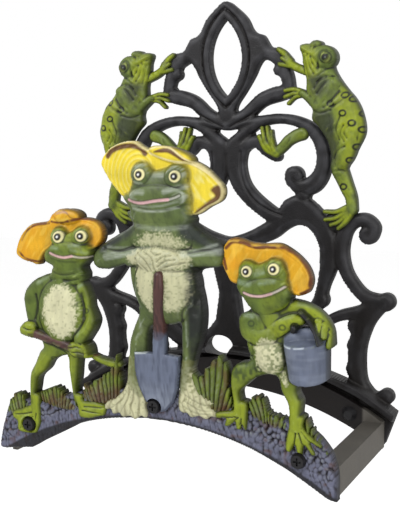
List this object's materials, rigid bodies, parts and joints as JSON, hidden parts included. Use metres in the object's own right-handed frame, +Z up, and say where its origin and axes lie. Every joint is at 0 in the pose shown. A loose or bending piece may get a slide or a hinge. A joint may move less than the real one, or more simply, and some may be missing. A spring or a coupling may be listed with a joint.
{
  "type": "hose hanger",
  "caption": "Wall-mounted cast-iron garden hose hanger: openwork scroll back plate with climbing frogs, open arched saddle and a painted front plate of gardening frogs in straw hats.",
  "frame": {"origin": "on the wall plane, midway between the two wall screw holes of the back plate", "axes": "+Z up, +Y into the wall, so the hose rest stands out towards -Y; +X to the right as seen from the front"},
  "size_m": [0.282, 0.1591, 0.3482],
  "materials": {
    "back_iron": "satin black paint over cast iron, climbing frogs brushed yellow-green",
    "front_paint": "hand-painted cast iron, dark wash in the recesses",
    "saddle_iron": "matt grey-brown painted iron",
    "fastener_steel": "blackened steel"
  },
  "bodies": {
    "root": {"back_plate": "back_iron", "front_plate": "front_paint", "saddle_frame": "saddle_iron", "front_screws": "fastener_steel", "front_nuts": "fastener_steel", "rear_bolts": "fastener_steel"}
  },
  "joints": []
}
